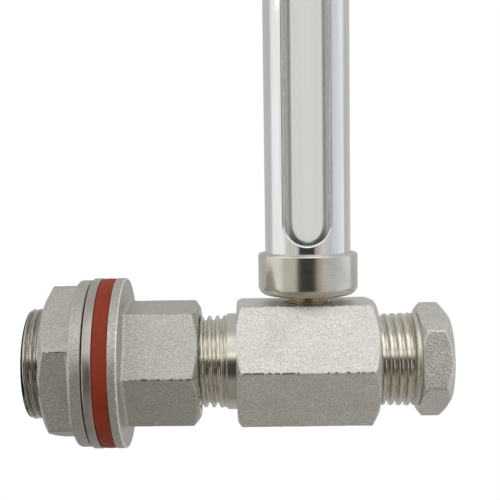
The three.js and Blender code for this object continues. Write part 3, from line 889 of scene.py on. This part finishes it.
def ramp(tree, value, *stops):
    """A colour ramp over 0 to 1 from (position, grey or colour) stops."""
    made = add(tree, "ValToRGB", {"Fac": value})
    elements = made.color_ramp.elements
    while len(elements) > 1:
        elements.remove(elements[-1])
    for i, (position, tone) in enumerate(stops):
        element = elements[0] if i == 0 else elements.new(position)
        element.position = position
        element.color = (*tone, 1) if isinstance(tone, tuple) else (tone, tone, tone, 1)
    return made.outputs["Color"]


def studio_world():
    """Soft surroundings: white sheets left and right, a brighter strip above the front, a dark near side."""
    world = bpy.data.worlds.new("studio")
    bpy.context.scene.world = world
    world.use_nodes = True
    tree = world.node_tree
    tree.nodes.clear()
    way = add(tree, "SeparateXYZ", {0: add(tree, "TexCoord").outputs["Generated"]})
    back = add(tree, "Math", {0: way.outputs["Y"], 1: -1.0}, operation="MULTIPLY").outputs[0]
    azimuth = add(tree, "Math", {0: way.outputs["X"], 1: back}, operation="ARCTAN2").outputs[0]
    turn = remap(tree, azimuth, -math.pi, math.pi, 0, 1)
    rise = remap(tree, add(tree, "Math", {0: way.outputs["Z"]}, operation="ARCSINE").outputs[0],
                 -math.pi / 2, math.pi / 2, 0, 1)

    def at(degrees):
        """A turn from the front, towards +X, as a place on the ramp."""
        return (degrees + 180) / 360

    def up(degrees):
        """A rise from the horizon as a place on the ramp."""
        return (degrees + 90) / 180

    horizon = ramp(
        tree, turn,
        (at(-180), 0.52), (at(-116), 0.52), (at(-108), 0.92), (at(-70), 0.92), (at(-60), (0.6, 0.59, 0.55)),
        (at(-30), (0.6, 0.58, 0.53)), (at(-25), 0.05), (at(13), 0.04), (at(17), (0.42, 0.33, 0.29)),
        (at(29), (0.54, 0.47, 0.43)), (at(33), 0.6), (at(44), 0.6), (at(60), (0.56, 0.58, 0.63)),
        (at(108), (0.86, 0.88, 0.94)), (at(116), 0.5), (at(128), 0.5), (at(136), 0.55), (at(180), 0.52),
    )
    overhead = ramp(
        tree, turn,
        (at(-180), 0.52), (at(-90), 0.58), (at(-40), 0.62), (at(0), 0.78), (at(50), 0.82), (at(90), 0.7),
        (at(180), 0.55),
    )
    below = ramp(
        tree, turn,
        (at(-180), 0.42), (at(-90), 0.22), (at(-20), (0.25, 0.24, 0.21)), (at(0), (0.36, 0.345, 0.305)),
        (at(50), (0.42, 0.405, 0.365)), (at(180), 0.46),
    )
    zenith = (0.48, 0.48, 0.46, 1)
    upper = mix_colour(tree, ramp(tree, rise, (up(11), 0.0), (up(20), 1.0)), horizon, overhead)
    strip = ramp(tree, rise, (up(18), 0.0), (up(21), 1.0), (up(29), 1.0), (up(32), 0.0))
    front = ramp(tree, turn, (at(-70), 0.0), (at(-50), 1.0), (at(50), 1.0), (at(70), 0.0))
    glare = add(tree, "Math", {0: strip, 1: front}, operation="MULTIPLY").outputs[0]
    shining = mix_colour(tree, glare, upper, (1.2, 1.18, 1.12, 1))
    topped = mix_colour(tree, ramp(tree, rise, (up(74), 0.0), (up(84), 1.0)), shining, zenith)
    lower = mix_colour(tree, ramp(tree, rise, (up(-38), 1.0), (up(-22), 0.0)), topped, below)
    sky = add(tree, "Background", {"Color": lower, "Strength": 1.0})
    tree.links.new(sky.outputs[0], add(tree, "OutputWorld").inputs["Surface"])


def soft_light(name, place, size, power):
    """A square lamp that faces the object and isn't seen itself."""
    light = bpy.data.lights.new(name, "AREA")
    light.shape, light.size, light.energy = "SQUARE", size, power
    lamp = bpy.data.objects.new(name, light)
    lamp.location = place
    lamp.rotation_euler = (Vector(LIT_SPOT) - Vector(place)).to_track_quat("-Z", "Y").to_euler()
    bpy.context.scene.collection.objects.link(lamp)
    lamp.visible_camera = False


def camera():
    """Stands in front of the tee, a little above it, turned and tilted slightly as the view asks."""
    yaw, pitch, roll = CAMERA_YAW, CAMERA_PITCH, CAMERA_ROLL
    forward = Vector((math.sin(yaw) * math.cos(pitch), math.cos(yaw) * math.cos(pitch), -math.sin(pitch)))
    right = Vector((math.cos(yaw), -math.sin(yaw), 0))
    over = right.cross(forward)
    turned_right = right * math.cos(roll) + over * math.sin(roll)
    turned_up = over * math.cos(roll) - right * math.sin(roll)
    data = bpy.data.cameras.new("camera")
    data.sensor_width, data.lens, data.shift_y = 36, CAMERA_LENS, CAMERA_SHIFT
    data.clip_start = 0.01
    made = bpy.data.objects.new("camera", data)
    turn = Matrix((turned_right, turned_up, -forward)).transposed().to_4x4()
    made.matrix_world = Matrix.Translation(CAMERA_SPOT) @ turn
    bpy.context.scene.collection.objects.link(made)
    bpy.context.scene.camera = made


dome("backdrop", DOME_RADIUS, 1.0, transmission=False)
dome("seen_through_glass", DOME_RADIUS - 0.5, BEHIND_GLASS, camera=False)
pale_floor()
studio_world()
soft_light("key", KEY_SPOT, KEY_SIZE, KEY_POWER)
soft_light("fill", FILL_SPOT, FILL_SIZE, FILL_POWER)
camera()
bpy.context.scene.view_settings.view_transform = "Standard"
